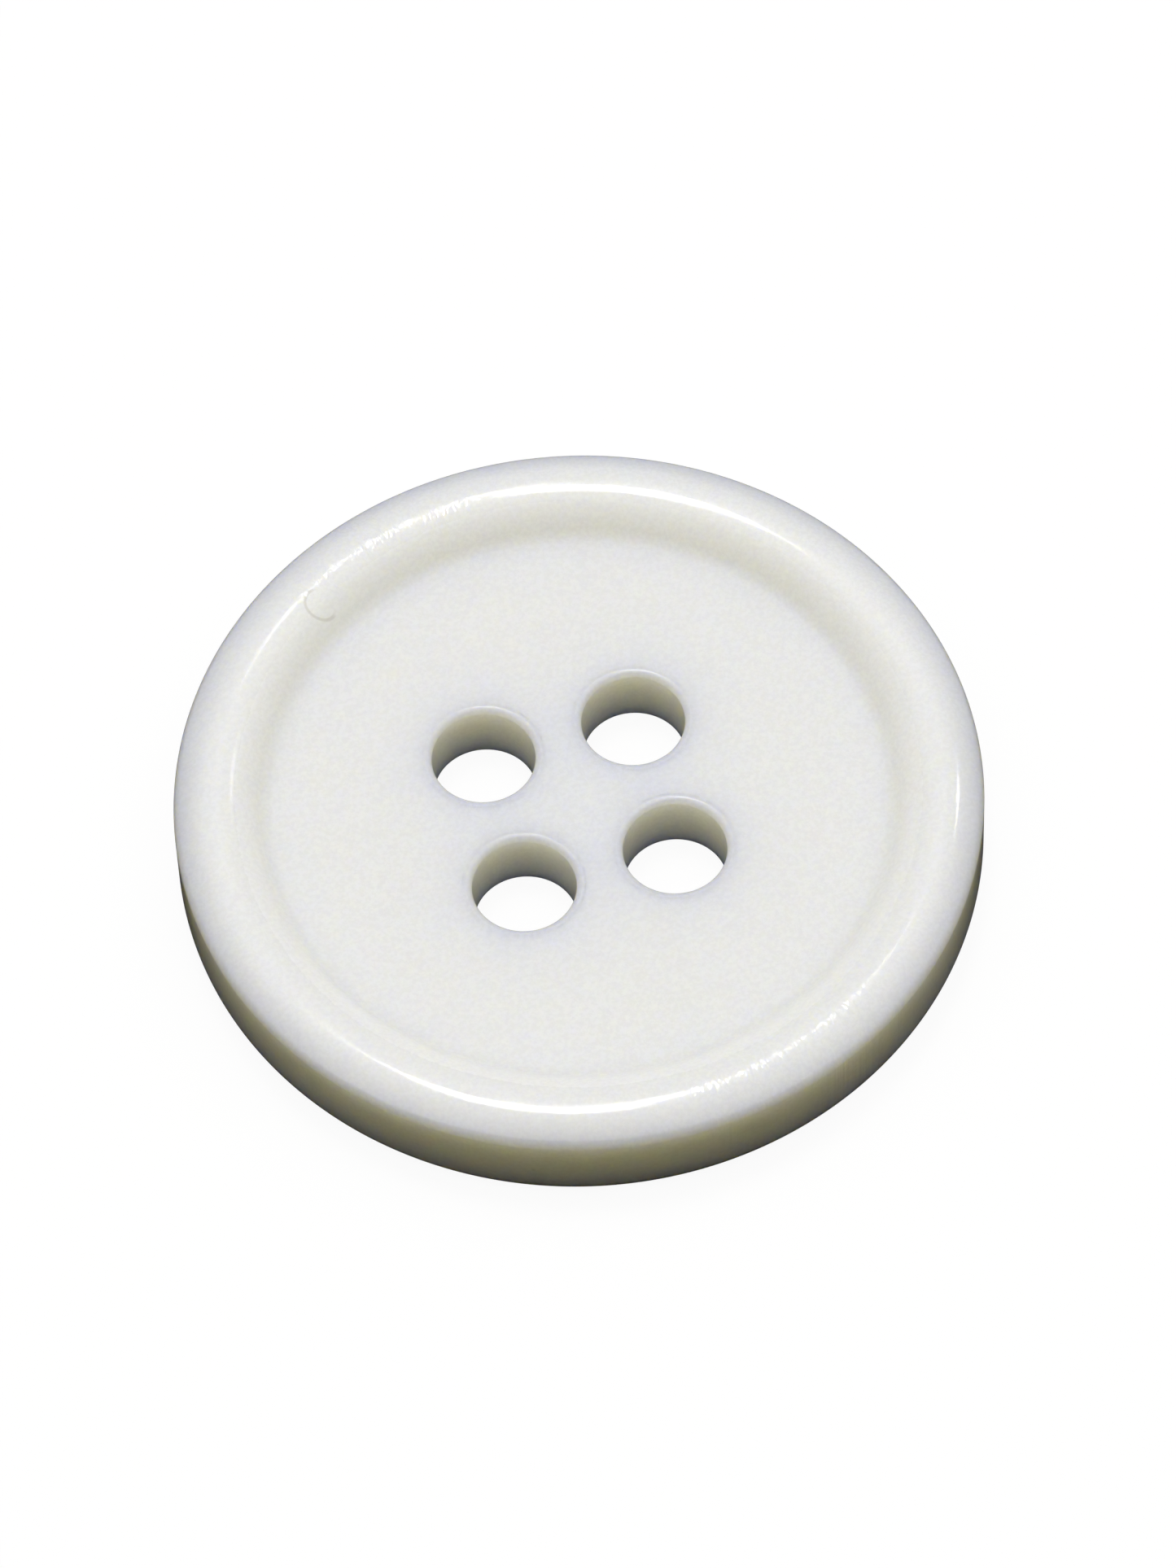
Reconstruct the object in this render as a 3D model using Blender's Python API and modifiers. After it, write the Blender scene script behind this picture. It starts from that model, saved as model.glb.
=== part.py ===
"""A sew-on button: one moulded disc with a raised rim, a shallow recess and four sewing holes.

Metres, +Z up. The origin is the centre of the flat back, and +Z points out of the front face.
Run it with: blender --background --python part.py
"""

import math

import bpy

MM = 0.001

# Driving dimensions of the disc.
BUTTON_DIAMETER = 13.0 * MM
BUTTON_THICKNESS = 1.70 * MM  # from the back to the crest of the rim
WEB_THICKNESS = 1.24 * MM  # from the back to the floor of the recess
CREST_DIAMETER = 11.70 * MM

# The roundings in the disc's section, and the slope between two of them.
RECESS_COVE_RADIUS = 0.20 * MM  # hollow, where the recess's floor meets the rim
CREST_INNER_RADIUS = 0.88 * MM  # from the cove up to the crest
CREST_OUTER_RADIUS = 0.80 * MM  # from the crest outwards
SHOULDER_SLOPE = math.radians(26)  # how far the rim falls away outside the crest
SHOULDER_RADIUS = 0.18 * MM  # between that slope and the side wall
BACK_EDGE_RADIUS = 0.28 * MM

# The sewing holes, at the corners of a square.
HOLE_DIAMETER = 1.67 * MM
HOLE_SPACING = 2.50 * MM
HOLE_FRONT_ROUNDING = 0.11 * MM
HOLE_BACK_ROUNDING = 0.08 * MM
ROUNDING_OVERRUN = 0.12  # share of a rounding that runs past the face, so that the cut is clean
CUTTER_OVERRUN = 0.5 * MM

# Fineness of the facets.
DISC_STEPS = 96
HOLE_STEPS = 32
FACET_TOLERANCE = 0.0022 * MM  # the furthest that a section's facets stray from its arcs
MERGE_DISTANCE = 0.001 * MM
FLAT_ANGLE = math.radians(0.1)

PLASTIC_COLOUR = (0.83, 0.83, 0.80, 1.0)
PLASTIC_ROUGHNESS = 0.25

# Directions in a section's plane, as angles from outwards (+X) towards up (+Z).
OUT, UP, IN, DOWN = 0, math.pi / 2, math.pi, -math.pi / 2


def clear_scene():
    for old in list(bpy.data.objects):
        bpy.data.objects.remove(old)


def make_collection(name):
    collection = bpy.data.collections.new(name)
    bpy.context.scene.collection.children.link(collection)
    return collection


def arc(centre_r, centre_z, radius, start, end):
    """Points on an arc in a section's plane, as close together as the tolerance asks."""
    widest = 2 * math.acos(1 - FACET_TOLERANCE / radius)
    steps = math.ceil(abs(end - start) / widest)
    angles = [start + (end - start) * i / steps for i in range(steps + 1)]
    return [(centre_r + radius * math.cos(a), centre_z + radius * math.sin(a)) for a in angles]


def recess_profile():
    """From the edge of the recess's floor up to the crest: two arcs that meet on one slope."""
    crest_r = CREST_DIAMETER / 2
    depth = BUTTON_THICKNESS - WEB_THICKNESS
    radii = RECESS_COVE_RADIUS + CREST_INNER_RADIUS
    slope = math.acos(1 - depth / radii)
    floor_r = crest_r - radii * math.sin(slope)
    cove_z = WEB_THICKNESS + RECESS_COVE_RADIUS
    crest_z = BUTTON_THICKNESS - CREST_INNER_RADIUS
    cove = arc(floor_r, cove_z, RECESS_COVE_RADIUS, DOWN, DOWN + slope)
    crest = arc(crest_r, crest_z, CREST_INNER_RADIUS, UP + slope, UP)
    return cove + crest[1:]


def side_profile():
    """From the crest down the slope, over the shoulder, down the side wall and round to the back."""
    outer_r = BUTTON_DIAMETER / 2
    crest_z = BUTTON_THICKNESS - CREST_OUTER_RADIUS
    crest = arc(CREST_DIAMETER / 2, crest_z, CREST_OUTER_RADIUS, UP, UP - SHOULDER_SLOPE)
    slope_r, slope_z = crest[-1]
    shoulder_r = outer_r - SHOULDER_RADIUS
    slope_width = shoulder_r + SHOULDER_RADIUS * math.sin(SHOULDER_SLOPE) - slope_r
    slope_foot_z = slope_z - slope_width * math.tan(SHOULDER_SLOPE)
    shoulder_z = slope_foot_z - SHOULDER_RADIUS * math.cos(SHOULDER_SLOPE)
    shoulder = arc(shoulder_r, shoulder_z, SHOULDER_RADIUS, UP - SHOULDER_SLOPE, OUT)
    back_edge = arc(outer_r - BACK_EDGE_RADIUS, BACK_EDGE_RADIUS, BACK_EDGE_RADIUS, OUT, DOWN)
    return crest[1:] + shoulder + back_edge


def disc_profile():
    return [(0, WEB_THICKNESS)] + recess_profile() + side_profile() + [(0, 0)]


def hole_profile():
    """A bore with a rounded mouth at each face, which runs past both faces."""
    bore_r = HOLE_DIAMETER / 2
    front_r = bore_r + HOLE_FRONT_ROUNDING
    back_r = bore_r + HOLE_BACK_ROUNDING
    front_z = WEB_THICKNESS - HOLE_FRONT_ROUNDING * (1 - ROUNDING_OVERRUN)
    back_z = HOLE_BACK_ROUNDING * (1 - ROUNDING_OVERRUN)
    top = WEB_THICKNESS + CUTTER_OVERRUN
    bottom = -CUTTER_OVERRUN
    front = arc(front_r, front_z, HOLE_FRONT_ROUNDING, UP, IN)
    back = arc(back_r, back_z, HOLE_BACK_ROUNDING, -IN, DOWN)
    return [(0, top), (front_r, top)] + front + back + [(back_r, bottom), (0, bottom)]


def turned_object(name, profile, steps, collection):
    """Turns a profile of (radius, height) points, top first, about the object's Z axis."""
    mesh = bpy.data.meshes.new(name)
    points = [(r, 0, z) for r, z in profile]
    mesh.from_pydata(points, [(i, i + 1) for i in range(len(points) - 1)], [])
    turned = bpy.data.objects.new(name, mesh)
    collection.objects.link(turned)
    screw = turned.modifiers.new("Turn", "SCREW")
    screw.axis = "Z"
    screw.angle = 2 * math.pi
    screw.steps = steps
    screw.render_steps = steps
    screw.use_merge_vertices = True
    screw.merge_threshold = MERGE_DISTANCE
    screw.use_smooth_shade = True
    flatten = turned.modifiers.new("Flat faces", "DECIMATE")
    flatten.decimate_type = "DISSOLVE"
    flatten.angle_limit = FLAT_ANGLE
    return turned


def make_plastic():
    material = bpy.data.materials.new("white_plastic")
    material.use_nodes = True
    shader = material.node_tree.nodes["Principled BSDF"]
    shader.inputs["Base Color"].default_value = PLASTIC_COLOUR
    shader.inputs["Roughness"].default_value = PLASTIC_ROUGHNESS
    shader.inputs["Metallic"].default_value = 0.0
    return material


def make_hole_cutters(collection):
    half = HOLE_SPACING / 2
    for x in (-half, half):
        for y in (-half, half):
            cutter = turned_object("hole_cutter", hole_profile(), HOLE_STEPS, collection)
            cutter.location = (x, y, 0)
            cutter.hide_render = True
            cutter.display_type = "WIRE"


def make_disc(collection, cutters):
    disc = turned_object("button_disc", disc_profile(), DISC_STEPS, collection)
    disc.data.materials.append(make_plastic())
    holes = disc.modifiers.new("Sewing holes", "BOOLEAN")
    holes.operation = "DIFFERENCE"
    holes.operand_type = "COLLECTION"
    holes.collection = cutters
    holes.solver = "EXACT"
    shading = disc.modifiers.new("Even shading", "WEIGHTED_NORMAL")
    shading.keep_sharp = True


def main():
    clear_scene()
    parts = make_collection("sew_on_button")
    cutters = make_collection("cutters")
    make_hole_cutters(cutters)
    make_disc(parts, cutters)


main()
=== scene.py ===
"""Looks, lights and camera for the sew-on button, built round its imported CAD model."""

import math

import bpy
from mathutils import Matrix, Vector, geometry


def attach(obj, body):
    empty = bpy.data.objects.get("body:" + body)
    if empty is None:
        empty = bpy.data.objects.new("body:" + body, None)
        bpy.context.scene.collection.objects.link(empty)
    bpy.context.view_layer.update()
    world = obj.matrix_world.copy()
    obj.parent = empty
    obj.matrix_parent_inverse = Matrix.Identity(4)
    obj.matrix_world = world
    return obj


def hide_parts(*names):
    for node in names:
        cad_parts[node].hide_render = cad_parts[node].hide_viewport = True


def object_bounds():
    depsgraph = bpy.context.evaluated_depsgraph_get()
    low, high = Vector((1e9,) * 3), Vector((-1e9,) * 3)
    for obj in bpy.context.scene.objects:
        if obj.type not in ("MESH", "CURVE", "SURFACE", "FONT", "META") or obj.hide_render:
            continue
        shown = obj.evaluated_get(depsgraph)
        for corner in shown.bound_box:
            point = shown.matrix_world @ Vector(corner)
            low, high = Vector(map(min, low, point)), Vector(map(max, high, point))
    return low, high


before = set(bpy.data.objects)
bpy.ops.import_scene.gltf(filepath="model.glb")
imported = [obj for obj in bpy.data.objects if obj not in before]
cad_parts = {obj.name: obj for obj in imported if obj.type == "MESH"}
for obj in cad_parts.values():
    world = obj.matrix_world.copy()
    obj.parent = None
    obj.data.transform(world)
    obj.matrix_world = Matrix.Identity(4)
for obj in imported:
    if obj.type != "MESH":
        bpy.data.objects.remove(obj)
cad_low, cad_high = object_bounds()

MM = 0.001
NODE = "button_disc"

# The button's section. It is the CAD's, with a softer hollow at the edge of the recess's floor.
OUTER_RADIUS = cad_high.x
THICKNESS = cad_high.z
WEB_THICKNESS = 1.24 * MM
CREST_RADIUS = 5.85 * MM
COVE_ARC = 0.26 * MM
CREST_INNER_ARC = 0.88 * MM
CREST_OUTER_ARC = 0.80 * MM
SHOULDER_SLOPE = math.radians(26)
SHOULDER_ARC = 0.18 * MM
BACK_EDGE_ARC = 0.28 * MM
HOLE_RADIUS = 0.835 * MM
HOLE_OFFSET = 1.25 * MM  # of each hole from the button's axis, along X and along Y
MOUTH_FRONT_ARC = 0.11 * MM
MOUTH_BACK_ARC = 0.08 * MM

# Fineness of the visual mesh.
DISC_STEPS = 512
HOLE_STEPS = 128
ARC_STEP = math.radians(4)
WALL_STEPS = 5
SLOPE_STEPS = 4
WEB_SPACING = 0.16 * MM  # between the points inside the recess's floor and the back
WEB_CLEARANCE = 0.10 * MM  # from those points to the web's edges
WEB_ROW_ANGLE = math.radians(60)  # the points stand at the corners of even triangles
WEB_TOLERANCE = 1e-7  # closer than this, in millimetres, two points are one
INSIDE_HOLE = 0.995  # share of a hole's radius within which a triangle's middle is in the hole
BOWL_STEPS = 96
GUARD = 0.04 * MM  # width of the flat strip along each edge of the web

# The camera: its direction from the button, its roll, and the point that it looks at.
CAMERA_AZIMUTH = math.radians(-13.11)
CAMERA_ELEVATION = math.radians(58.68)
CAMERA_ROLL = math.radians(2.69)
CAMERA_DISTANCE = 156 * MM
CAMERA_LENS = 221.7
CAMERA_SENSOR = 36.0
CAMERA_CLIP = (10 * MM, 2.0)
AIM_RIGHT = 0.117 * MM
AIM_UP = 0.910 * MM

OUT, UP, IN, DOWN = 0, math.pi / 2, math.pi, -math.pi / 2


# ---------------------------------------------------------------------------------------------
# The button's mesh.


def arc(centre_r, centre_z, radius, start, end):
    steps = math.ceil(abs(end - start) / ARC_STEP)
    angles = [start + (end - start) * i / steps for i in range(steps + 1)]
    return [(centre_r + radius * math.cos(a), centre_z + radius * math.sin(a)) for a in angles]


def line(start_r, start_z, end_r, end_z, steps):
    """The points between a line's two ends."""
    shares = [i / steps for i in range(1, steps)]
    return [(start_r + (end_r - start_r) * f, start_z + (end_z - start_z) * f) for f in shares]


def rim_profile():
    """From the edge of the recess's floor over the rim and down to the edge of the flat back."""
    radii = COVE_ARC + CREST_INNER_ARC
    rise = math.acos(1 - (THICKNESS - WEB_THICKNESS) / radii)
    floor_r = CREST_RADIUS - radii * math.sin(rise)
    cove = arc(floor_r, WEB_THICKNESS + COVE_ARC, COVE_ARC, DOWN, DOWN + rise)
    inner = arc(CREST_RADIUS, THICKNESS - CREST_INNER_ARC, CREST_INNER_ARC, UP + rise, UP)
    outer = arc(CREST_RADIUS, THICKNESS - CREST_OUTER_ARC, CREST_OUTER_ARC, UP, UP - SHOULDER_SLOPE)
    slope_r, slope_z = outer[-1]
    shoulder_r = OUTER_RADIUS - SHOULDER_ARC
    slope_width = shoulder_r + SHOULDER_ARC * math.sin(SHOULDER_SLOPE) - slope_r
    foot_z = slope_z - slope_width * math.tan(SHOULDER_SLOPE)
    slope = line(slope_r, slope_z, slope_r + slope_width, foot_z, SLOPE_STEPS)
    shoulder_z = foot_z - SHOULDER_ARC * math.cos(SHOULDER_SLOPE)
    shoulder = arc(shoulder_r, shoulder_z, SHOULDER_ARC, UP - SHOULDER_SLOPE, OUT)
    wall = line(OUTER_RADIUS, shoulder_z, OUTER_RADIUS, BACK_EDGE_ARC, WALL_STEPS)
    back_r = OUTER_RADIUS - BACK_EDGE_ARC
    back_edge = arc(back_r, BACK_EDGE_ARC, BACK_EDGE_ARC, OUT, DOWN)
    floor, back = [(floor_r - GUARD, WEB_THICKNESS)], [(back_r - GUARD, 0.0)]
    return floor + cove + inner[1:] + outer[1:] + slope + shoulder + wall + back_edge + back


def hole_profile():
    """From the flat strip round a hole's front mouth, down its bore, to the strip round its back."""
    front_r, back_r = HOLE_RADIUS + MOUTH_FRONT_ARC, HOLE_RADIUS + MOUTH_BACK_ARC
    front_z = WEB_THICKNESS - MOUTH_FRONT_ARC
    front = arc(front_r, front_z, MOUTH_FRONT_ARC, UP, IN)
    back = arc(back_r, MOUTH_BACK_ARC, MOUTH_BACK_ARC, -IN, DOWN)
    bore = line(HOLE_RADIUS, front_z, HOLE_RADIUS, MOUTH_BACK_ARC, WALL_STEPS)
    floor = [(front_r + GUARD, WEB_THICKNESS)]
    return floor + front + bore + back + [(back_r + GUARD, 0.0)]


def turned_rings(mesh, profile, steps, centre):
    """Adds the rings of a turned profile to a mesh, a pair of point and face lists. Returns the rings."""
    points = mesh[0]
    rings = []
    for r, z in profile:
        first = len(points)
        for i in range(steps):
            a = 2 * math.pi * i / steps
            points.append((centre[0] + r * math.cos(a), centre[1] + r * math.sin(a), z))
        rings.append(list(range(first, first + steps)))
    return rings


def join_rings(mesh, rings, outwards):
    for upper, lower in zip(rings, rings[1:]):
        for i in range(len(upper)):
            j = (i + 1) % len(upper)
            face = (upper[i], lower[i], lower[j], upper[j])
            mesh[1].append(face if outwards else face[::-1])


def fill_web(mesh, outer_ring, hole_rings, z, upwards):
    """Fills the flat face between its outer ring and the holes' rings with even triangles.

    The triangles are found in millimetres, as the search is too coarse for metres.
    """
    points, faces = mesh
    centres = [(x * HOLE_OFFSET, y * HOLE_OFFSET) for x in (-1, 1) for y in (-1, 1)]
    outer_r = math.hypot(*points[outer_ring[0]][:2])
    hole_r = math.dist(points[hole_rings[0][0]][:2], centres[0])
    ids = list(outer_ring) + [i for ring in hole_rings for i in ring]
    flat = [Vector(points[i][:2]) for i in ids]
    edges, start = [], 0
    for ring in [outer_ring, *hole_rings]:
        n = len(ring)
        edges += [(start + i, start + (i + 1) % n) for i in range(n)]
        start += n
    row_height = WEB_SPACING * math.sin(WEB_ROW_ANGLE)
    rows = math.ceil(outer_r / row_height)
    for row in range(-rows, rows + 1):
        y = row * row_height
        shift = WEB_SPACING / 2 if row % 2 else 0.0
        for column in range(-rows, rows + 1):
            x = column * WEB_SPACING + shift
            near_hole = any(math.dist((x, y), c) < hole_r + WEB_CLEARANCE for c in centres)
            if math.hypot(x, y) < outer_r - WEB_CLEARANCE and not near_hole:
                ids.append(len(points))
                points.append((x, y, z))
                flat.append(Vector((x, y)))
    scaled = [p / MM for p in flat]
    filled = geometry.delaunay_2d_cdt(scaled, edges, [], 0, WEB_TOLERANCE)
    found, _, triangles, origin, _, _ = filled
    for triangle in triangles:
        middle = sum((found[i] for i in triangle), Vector((0, 0))) * MM / 3
        in_hole = any(math.dist(middle, c) < hole_r * INSIDE_HOLE for c in centres)
        if math.hypot(*middle) > outer_r or in_hole:
            continue
        face = [ids[origin[i][0]] for i in triangle]
        a, b, c = (Vector(points[i][:2]) for i in face)
        anticlockwise = (b - a).cross(c - a) > 0
        faces.append(tuple(face if anticlockwise == upwards else face[::-1]))


def make_button():
    mesh = ([], [])
    rim = turned_rings(mesh, rim_profile(), DISC_STEPS, (0, 0))
    join_rings(mesh, rim, True)
    tops, bottoms = [], []
    for x in (-HOLE_OFFSET, HOLE_OFFSET):
        for y in (-HOLE_OFFSET, HOLE_OFFSET):
            hole = turned_rings(mesh, hole_profile(), HOLE_STEPS, (x, y))
            join_rings(mesh, hole, False)
            tops.append(hole[0])
            bottoms.append(hole[-1])
    fill_web(mesh, rim[0], tops, WEB_THICKNESS, True)
    fill_web(mesh, rim[-1], bottoms, 0.0, False)
    data = bpy.data.meshes.new("button")
    data.from_pydata(mesh[0], [], mesh[1])
    data.validate()
    data.shade_smooth()
    button = bpy.data.objects.new("button", data)
    bpy.context.scene.collection.objects.link(button)
    data.materials.append(make_plastic())
    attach(button, "root")
    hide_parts(NODE)
    return button


# ---------------------------------------------------------------------------------------------
# The plastic.


class Nodes:
    """Builds one node tree, a node a call. A socket or a value can go in wherever a node reads one."""

    def __init__(self, tree):
        self.tree = tree

    def put(self, value, socket):
        if isinstance(value, bpy.types.NodeSocket):
            self.tree.links.new(value, socket)
        else:
            socket.default_value = value

    def add(self, kind, inputs=(), output=0, **settings):
        node = self.tree.nodes.new("ShaderNode" + kind)
        for name, value in settings.items():
            setattr(node, name, value)
        for name, value in dict(inputs).items():
            self.put(value, node.inputs[name])
        return node.outputs[output]

    def math(self, operation, a, b=0.0, c=0.0):
        return self.add("Math", {0: a, 1: b, 2: c}, operation=operation)

    def parts(self, vector):
        node = self.tree.nodes.new("ShaderNodeSeparateXYZ")
        self.tree.links.new(vector, node.inputs[0])
        return node.outputs

    def joined(self, x, y, z, scales):
        scaled = [self.math("MULTIPLY", value, scale) for value, scale in zip((x, y, z), scales)]
        return self.add("CombineXYZ", zip("XYZ", scaled))

    def length(self, x, y):
        squares = [self.math("MULTIPLY", value, value) for value in (x, y)]
        return self.math("SQRT", self.math("ADD", *squares))

    def step(self, value, low, high, to_low=0.0, to_high=1.0):
        """Goes smoothly from to_low to to_high while value goes from low to high."""
        inputs = {"Value": value, "From Min": low, "From Max": high, "To Min": to_low, "To Max": to_high}
        return self.add("MapRange", inputs, interpolation_type="SMOOTHSTEP")

    def noise(self, vector, scale, detail=2.0, roughness=0.5):
        inputs = {"Vector": vector, "Scale": scale, "Detail": detail, "Roughness": roughness}
        return self.add("TexNoise", inputs)

    def spots(self, vector, scale):
        """The distance to the nearest of many scattered points."""
        inputs = {"Vector": vector, "Scale": scale, "Randomness": 1.0}
        return self.add("TexVoronoi", inputs, feature="F1")

    def mix_colour(self, factor, a, b):
        node = self.tree.nodes.new("ShaderNodeMix")
        node.data_type = "RGBA"
        sockets = {s.identifier: s for s in node.inputs}
        self.put(factor, sockets["Factor_Float"])
        self.put(a, sockets["A_Color"])
        self.put(b, sockets["B_Color"])
        return next(s for s in node.outputs if s.identifier == "Result_Color")


WHITE = (0.866, 0.856, 0.824, 1.0)
WHITE_WARM = (0.856, 0.840, 0.800, 1.0)
SPECK = (0.50, 0.48, 0.44, 1.0)
RIM_ROUGHNESS = 0.12
RECESS_ROUGHNESS = 0.50
RIM_SPECULAR = 0.5
RECESS_SPECULAR = 0.05
PLASTIC_IOR = 1.54
SUBSURFACE = 1.0
SUBSURFACE_RADIUS = (1.0, 0.87, 0.42)
SUBSURFACE_SCALE = 2.2 * MM

# In the material, lengths are in millimetres and a texture's scale is in waves a millimetre.
# A pair of edges holds the two values between which something goes from one state to the other.
GLOSS_EDGES = (5.35, 5.62)  # distance from the button's axis
MOUTH_EDGES = (0.915, 0.955)  # distance from a hole's axis
MOUTH_POLISH = 0.85  # the rim's is 1
CLOUD_SCALE = 0.9
GRAIN_SCALE = 15.0
GRAIN_ROUGHNESS = 0.6
NOISE_EDGES = (0.3, 0.7)
SATIN_SPREAD = (-0.05, 0.05)
GLOSS_SPREAD = (-0.03, 0.04)

# The relief, in thousandths of a millimetre.
RELIEF_UNIT = 0.001 * MM
WAVE_SCALE = 0.55
WAVE_HEIGHT = 5.0
GRAIN_EDGES = (4.9, 5.3)
GRAIN_HEIGHTS = (0.5, 1.0)  # in the recess and on the rim
PEEL_SCALE = 6.0
PEEL_HEIGHT = 2.2
LINE_SCALES = (70.0, 70.0, 6.0)
LINE_HEIGHT = 11.0
WEAR_AXIS = (-0.33, 0.944)  # the rim is rubbed where this line crosses it
WEAR_EDGES = (0.93, 0.985)
NICK_SCALE = 0.9
NICK_EDGES = (0.030, 0.055)
NICK_DEPTH = -1.2

# The colour's variations.
WARM_EDGES = (0.35, 0.75)
WARM_SHARE = 0.35
MOTTLE_EDGES = (0.35, 0.65)
MOTTLE_SHARE = 0.12
SPECK_SCALE = 0.45
SPECK_EDGES = (0.005, 0.022)
SPECK_SHARE = 0.3
HOOK_CENTRE = (-3.08, 4.55, 1.6)  # millimetres, on the rim's inner slope
HOOK_RADIUS = 0.25
HOOK_OPENING = (0.88, 0.47)  # the direction in which the hook is open
HOOK_EDGES = (0.010, 0.034)
HOOK_END_EDGES = (0.02, 0.12)
HOOK_SHARE = 0.42


def plastic_roughness(n, polished, grain, cloudy):
    """Satin in the recess and gloss on the rim and the holes' mouths, both a little uneven."""
    satin_ends = [RECESS_ROUGHNESS + spread for spread in SATIN_SPREAD]
    gloss_ends = [RIM_ROUGHNESS + spread for spread in GLOSS_SPREAD]
    satin = n.step(grain, *NOISE_EDGES, *satin_ends)
    gloss = n.step(cloudy, *NOISE_EDGES, *gloss_ends)
    return n.add("Mix", {0: polished, 2: satin, 3: gloss})


def plastic_relief(n, place, radius, on_rim, grain):
    """Slow waves, a grain, a fine peel on the rim, hair-fine lines where it is rubbed, and nicks."""
    x, y, _ = n.parts(place)
    turn_x, turn_y = n.math("DIVIDE", x, radius), n.math("DIVIDE", y, radius)
    lines = n.noise(n.joined(turn_x, turn_y, radius, LINE_SCALES), scale=1.0)
    towards_wear = n.math("MULTIPLY_ADD", turn_x, WEAR_AXIS[0], n.math("MULTIPLY", turn_y, WEAR_AXIS[1]))
    rubbed = n.step(n.math("ABSOLUTE", towards_wear), *WEAR_EDGES)
    height = n.math("MULTIPLY", n.noise(place, WAVE_SCALE, detail=1.0), WAVE_HEIGHT)
    height = n.math("MULTIPLY_ADD", grain, n.step(radius, *GRAIN_EDGES, *GRAIN_HEIGHTS), height)
    peel_height = n.math("MULTIPLY", on_rim, PEEL_HEIGHT)
    height = n.math("MULTIPLY_ADD", n.noise(place, PEEL_SCALE), peel_height, height)
    line_height = n.math("MULTIPLY", on_rim, n.math("MULTIPLY", rubbed, LINE_HEIGHT))
    height = n.math("MULTIPLY_ADD", lines, line_height, height)
    nicks = n.step(n.spots(place, NICK_SCALE), *NICK_EDGES, 1.0, 0.0)
    height = n.math("MULTIPLY_ADD", nicks, NICK_DEPTH, height)
    return n.add("Bump", {"Height": height, "Strength": 1.0, "Distance": RELIEF_UNIT})


def plastic_colour(n, place, grain, cloudy):
    """Slow warm clouds, a fine mottle, faint specks and one faint hooked scratch."""
    warm = n.math("MULTIPLY", n.step(cloudy, *WARM_EDGES), WARM_SHARE)
    colour = n.mix_colour(warm, WHITE, WHITE_WARM)
    colour = n.mix_colour(n.step(grain, *MOTTLE_EDGES, MOTTLE_SHARE, 0.0), colour, SPECK)
    specks = n.step(n.spots(place, SPECK_SCALE), *SPECK_EDGES, SPECK_SHARE, 0.0)
    colour = n.mix_colour(specks, colour, SPECK)
    x, y, _ = n.parts(n.add("VectorMath", {0: place, 1: HOOK_CENTRE}, operation="SUBTRACT"))
    off_hook = n.math("ABSOLUTE", n.math("SUBTRACT", n.length(x, y), HOOK_RADIUS))
    along = n.math("MULTIPLY_ADD", x, HOOK_OPENING[0], n.math("MULTIPLY", y, HOOK_OPENING[1]))
    line = n.step(off_hook, *HOOK_EDGES, HOOK_SHARE, 0.0)
    hook = n.math("MULTIPLY", line, n.step(along, *HOOK_END_EDGES, 1.0, 0.0))
    return n.mix_colour(hook, colour, SPECK)


def make_plastic():
    material = bpy.data.materials.new("button_plastic")
    material.use_nodes = True
    tree = material.node_tree
    shader = tree.nodes["Principled BSDF"]
    n = Nodes(tree)
    metres = n.add("TexCoord", output="Object")
    place = n.add("VectorMath", {0: metres, "Scale": 1 / MM}, operation="SCALE")
    x, y, _ = n.parts(place)
    radius = n.length(x, y)
    on_rim = n.step(radius, *GLOSS_EDGES)
    cloudy = n.noise(place, CLOUD_SCALE, detail=3.0)
    grain = n.noise(place, GRAIN_SCALE, detail=3.0, roughness=GRAIN_ROUGHNESS)
    hole_x = n.math("SUBTRACT", n.math("ABSOLUTE", x), HOLE_OFFSET / MM)
    hole_y = n.math("SUBTRACT", n.math("ABSOLUTE", y), HOLE_OFFSET / MM)
    on_mouth = n.step(n.length(hole_x, hole_y), *MOUTH_EDGES, MOUTH_POLISH, 0.0)
    polished = n.math("MAXIMUM", on_rim, on_mouth)
    specular = n.step(polished, 0.0, 1.0, RECESS_SPECULAR, RIM_SPECULAR)
    n.put(plastic_colour(n, place, grain, cloudy), shader.inputs["Base Color"])
    n.put(plastic_roughness(n, polished, grain, cloudy), shader.inputs["Roughness"])
    n.put(specular, shader.inputs["Specular IOR Level"])
    n.put(plastic_relief(n, place, radius, on_rim, grain), shader.inputs["Normal"])
    shader.inputs["Metallic"].default_value = 0.0
    shader.inputs["IOR"].default_value = PLASTIC_IOR
    shader.inputs["Subsurface Weight"].default_value = SUBSURFACE
    shader.inputs["Subsurface Radius"].default_value = SUBSURFACE_RADIUS
    shader.inputs["Subsurface Scale"].default_value = SUBSURFACE_SCALE
    return material


# ---------------------------------------------------------------------------------------------
# Floor, lights and camera.

CAMERA_RIGHT = Vector((math.cos(CAMERA_AZIMUTH), math.sin(CAMERA_AZIMUTH), 0))
CAMERA_AWAY = Vector((-math.sin(CAMERA_AZIMUTH), math.cos(CAMERA_AZIMUTH), 0))
ABOVE = Vector((0, 0, 1))

FLOOR_RADIUS = 0.30
BACKDROP_RADIUS = 0.42
BACKDROP_HEIGHT = 0.45
FLOOR_GAP = 0.004 * MM  # keeps the floor clear of the button's back
PALE = (1.0, 1.0, 1.0, 1.0)
PALE_GLOW = (0.93, 1.05)  # near the button and far from it
PALE_GLOW_EDGES = (0.03, 0.12)  # distance from the button, in metres
PALE_DIFFUSE = 0.07
TABLE_COLOUR = (0.014, 0.024, 0.006, 1.0)
TABLE_GAP = 0.03 * MM
TABLE_MIDDLE = 0.01
TABLE_ROUGHNESS = 0.6

LIGHT_DISTANCE = 0.60
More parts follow.
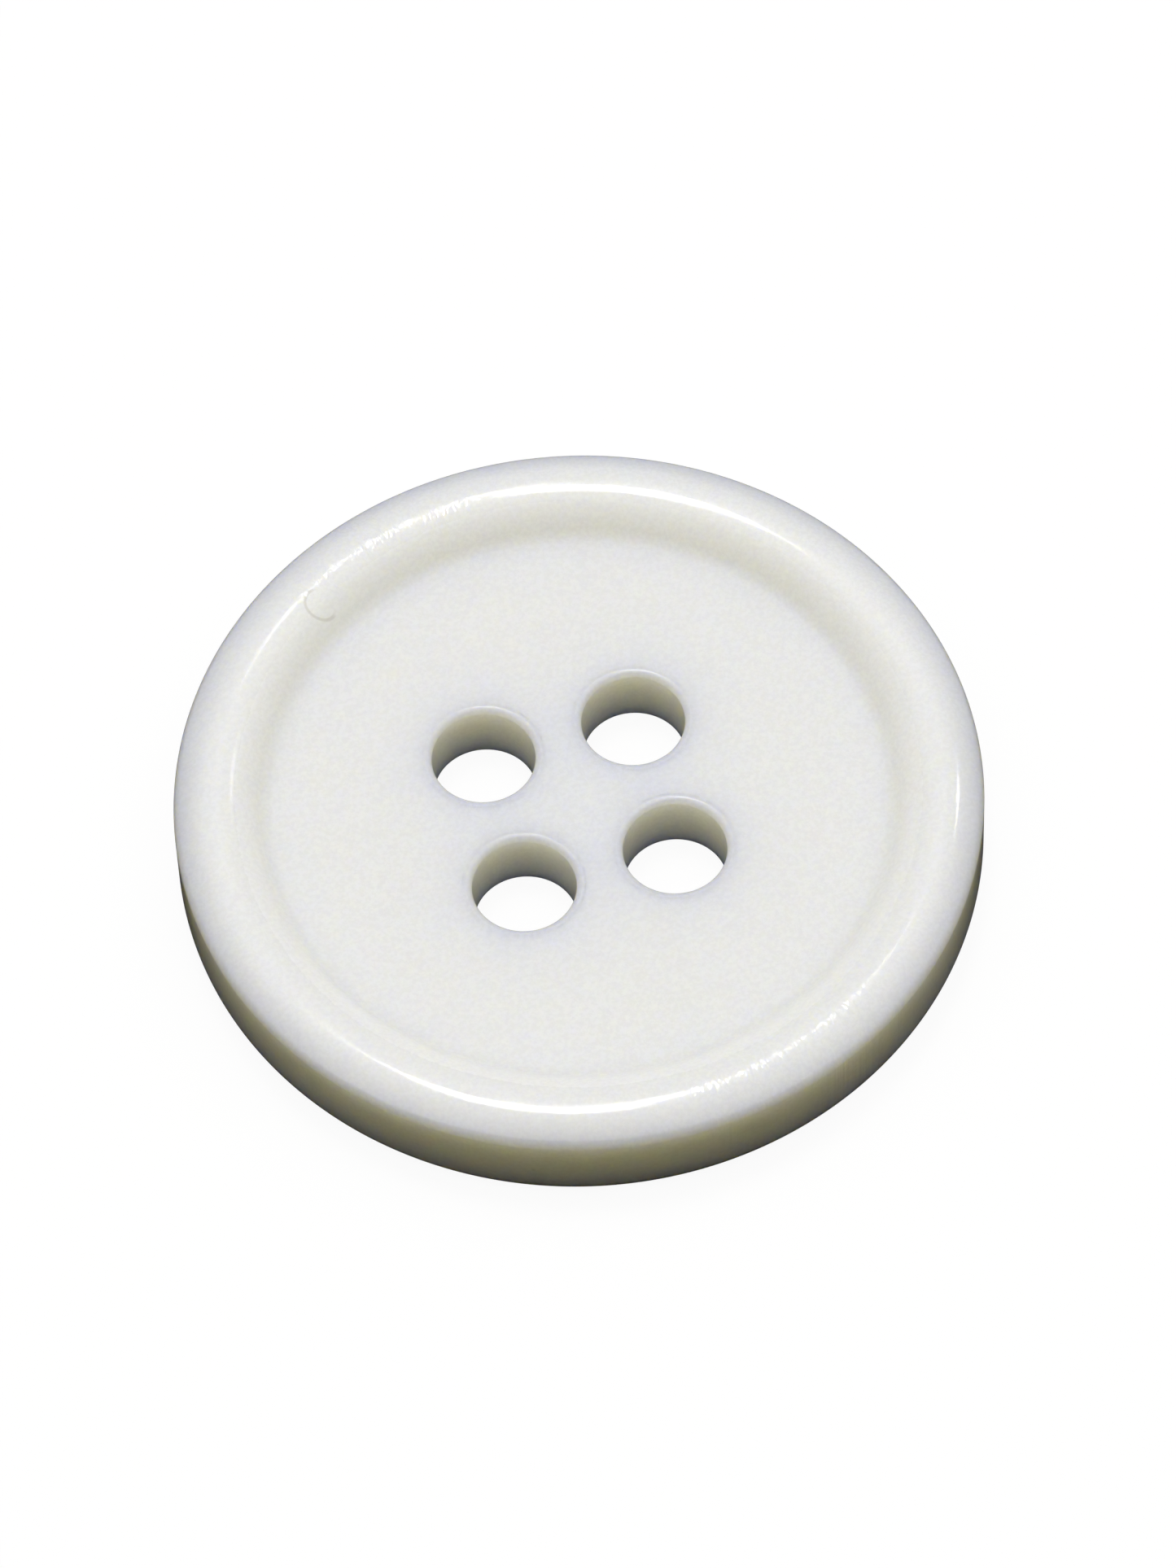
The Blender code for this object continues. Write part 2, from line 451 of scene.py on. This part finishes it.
# Each light: name, direction (right, away, above), size in degrees (across, along), radiance, colour.
LIGHTS = (
    ("key", (-0.05, 0.238, 0.97), (9, 12.5), 22.3, (1.0, 0.99, 0.975)),
    ("second", (0.055, 0.42, 0.906), (5, 5), 13.0, (1.0, 0.99, 0.975)),
    ("third", (0.51, 0.47, 0.72), (4, 4), 14.0, (1.0, 0.99, 0.975)),
    ("back", (0.0, 0.92, 0.40), (90, 26), 0.30, (1.0, 0.99, 0.975)),
)

# The soft light all round: brightest about one direction, with its colours by the angle from there,
# and wider to the left and right. Whoever holds the camera shades the side that they stand on.
SKY_CENTRE = (0.02, -0.10, 0.99)
SKY_WIDTH = 1.25
SKY = (
    (0, (1.62, 1.61, 1.58, 1.0)),
    (27, (1.62, 1.61, 1.58, 1.0)),
    (40, (0.96, 0.95, 0.93, 1.0)),
    (52, (0.45, 0.44, 0.42, 1.0)),
    (62, (0.16, 0.16, 0.14, 1.0)),
    (70, (0.03, 0.03, 0.02, 1.0)),
    (90, (0.00, 0.00, 0.00, 1.0)),
    (180, (0.00, 0.00, 0.00, 1.0)),
)
SKY_PEAK = 2.0
SKY_STRENGTH = 1.02
SHADE_EDGES = (0.35, 0.52)
SHADE_DEPTH = 0.97


def aimed(direction):
    """The direction that goes so far to the camera's right, away from it and up."""
    right, away, above = direction
    return (CAMERA_RIGHT * right + CAMERA_AWAY * away + ABOVE * above).normalized()


def make_lights():
    aim = Vector((0, 0, WEB_THICKNESS))
    for name, direction, size, radiance, colour in LIGHTS:
        towards = aimed(direction)
        data = bpy.data.lights.new(name, "AREA")
        data.shape = "RECTANGLE"
        data.size, data.size_y = (2 * LIGHT_DISTANCE * math.tan(math.radians(s) / 2) for s in size)
        data.energy = radiance * math.pi * data.size * data.size_y
        data.color = colour
        light = bpy.data.objects.new(name, data)
        across = CAMERA_AWAY.cross(towards).normalized()
        along = towards.cross(across)
        turn = Matrix((across, along, towards)).transposed()
        light.matrix_world = Matrix.Translation(aim + towards * LIGHT_DISTANCE) @ turn.to_4x4()
        light.visible_camera = False
        bpy.context.scene.collection.objects.link(light)


def make_sky():
    world = bpy.data.worlds.new("studio")
    bpy.context.scene.world = world
    world.use_nodes = True
    tree = world.node_tree
    n = Nodes(tree)
    direction = n.add("TexCoord", output="Generated")
    turn = {"Vector": direction, "Rotation": (0, 0, CAMERA_AZIMUTH)}
    turned = n.add("Mapping", turn, vector_type="TEXTURE")
    squeezed = n.add("VectorMath", {0: turned, 1: (1 / SKY_WIDTH, 1, 1)}, operation="MULTIPLY")
    squeezed = n.add("VectorMath", {0: squeezed}, operation="NORMALIZE")
    centre = Vector(SKY_CENTRE).normalized()
    closeness = n.add("VectorMath", {0: squeezed, 1: centre}, output="Value", operation="DOT_PRODUCT")
    ramp = tree.nodes.new("ShaderNodeValToRGB")
    tree.links.new(n.math("DIVIDE", n.math("ARCCOSINE", closeness), math.pi), ramp.inputs[0])
    ramp.color_ramp.interpolation = "EASE"
    points = ramp.color_ramp.elements
    while len(points) < len(SKY):
        points.new(0.5)
    for point, (degrees, colour) in zip(points, SKY):
        point.position = degrees / 180
        point.color = [c / SKY_PEAK for c in colour[:3]] + [1.0]
    towards = n.math("MULTIPLY", n.parts(turned)["Y"], -1)
    shade = n.step(towards, *SHADE_EDGES, 1.0, 1.0 - SHADE_DEPTH)
    background = tree.nodes["Background"]
    tree.links.new(ramp.outputs[0], background.inputs["Color"])
    tree.links.new(n.math("MULTIPLY", shade, SKY_PEAK * SKY_STRENGTH), background.inputs["Strength"])


def bowl(name, profile, material):
    """A turned surface that starts from a point on the axis."""
    mesh = ([(0.0, 0.0, profile[0][1])], [])
    rings = turned_rings(mesh, profile[1:], BOWL_STEPS, (0, 0))
    for i in range(BOWL_STEPS):
        mesh[1].append((0, rings[0][i], rings[0][(i + 1) % BOWL_STEPS]))
    join_rings(mesh, rings, False)
    data = bpy.data.meshes.new(name)
    data.from_pydata(mesh[0], [], mesh[1])
    data.shade_smooth()
    data.materials.append(material)
    made = bpy.data.objects.new(name, data)
    bpy.context.scene.collection.objects.link(made)
    return made


def make_floor():
    pale = bpy.data.materials.new("pale_floor")
    pale.use_nodes = True
    shader = pale.node_tree.nodes["Principled BSDF"]
    shader.inputs["Base Color"].default_value = (PALE_DIFFUSE, PALE_DIFFUSE, PALE_DIFFUSE, 1.0)
    shader.inputs["Roughness"].default_value = 1.0
    shader.inputs["Specular IOR Level"].default_value = 0.0
    shader.inputs["Emission Color"].default_value = PALE
    n = Nodes(pale.node_tree)
    place = n.add("TexCoord", output="Object")
    centre_distance = n.add("VectorMath", {0: place}, output="Value", operation="LENGTH")
    n.put(n.step(centre_distance, *PALE_GLOW_EDGES, *PALE_GLOW), shader.inputs["Emission Strength"])
    corner = BACKDROP_RADIUS - FLOOR_RADIUS
    curve = [(r, z - FLOOR_GAP) for r, z in arc(FLOOR_RADIUS, corner, corner, DOWN, OUT)]
    profile = [(0.0, -FLOOR_GAP)] + curve + [(BACKDROP_RADIUS, BACKDROP_HEIGHT)]
    floor = bowl("pale_floor", profile, pale)
    floor.visible_diffuse = False
    floor.visible_glossy = False
    floor.visible_shadow = False

    green = bpy.data.materials.new("table_green")
    green.use_nodes = True
    shader = green.node_tree.nodes["Principled BSDF"]
    shader.inputs["Base Color"].default_value = TABLE_COLOUR
    shader.inputs["Roughness"].default_value = TABLE_ROUGHNESS
    profile = [(r, -TABLE_GAP) for r in (0.0, TABLE_MIDDLE, FLOOR_RADIUS)]
    table = bowl("table", profile, green)
    table.visible_camera = False


def make_camera():
    cos_e, sin_e = math.cos(CAMERA_ELEVATION), math.sin(CAMERA_ELEVATION)
    back = -CAMERA_AWAY * cos_e + ABOVE * sin_e
    up = back.cross(CAMERA_RIGHT)
    cos_r, sin_r = math.cos(CAMERA_ROLL), math.sin(CAMERA_ROLL)
    rolled_right = CAMERA_RIGHT * cos_r - up * sin_r
    rolled_up = CAMERA_RIGHT * sin_r + up * cos_r
    data = bpy.data.cameras.new("camera")
    data.sensor_width = CAMERA_SENSOR
    data.lens = CAMERA_LENS
    data.clip_start, data.clip_end = CAMERA_CLIP
    camera = bpy.data.objects.new("camera", data)
    turn = Matrix((rolled_right, rolled_up, back)).transposed()
    place = back * CAMERA_DISTANCE + rolled_right * AIM_RIGHT + rolled_up * AIM_UP
    camera.matrix_world = Matrix.Translation(place) @ turn.to_4x4()
    bpy.context.scene.collection.objects.link(camera)
    bpy.context.scene.camera = camera


make_button()
make_sky()
make_floor()
make_lights()
make_camera()
bpy.context.scene.view_settings.view_transform = "Standard"
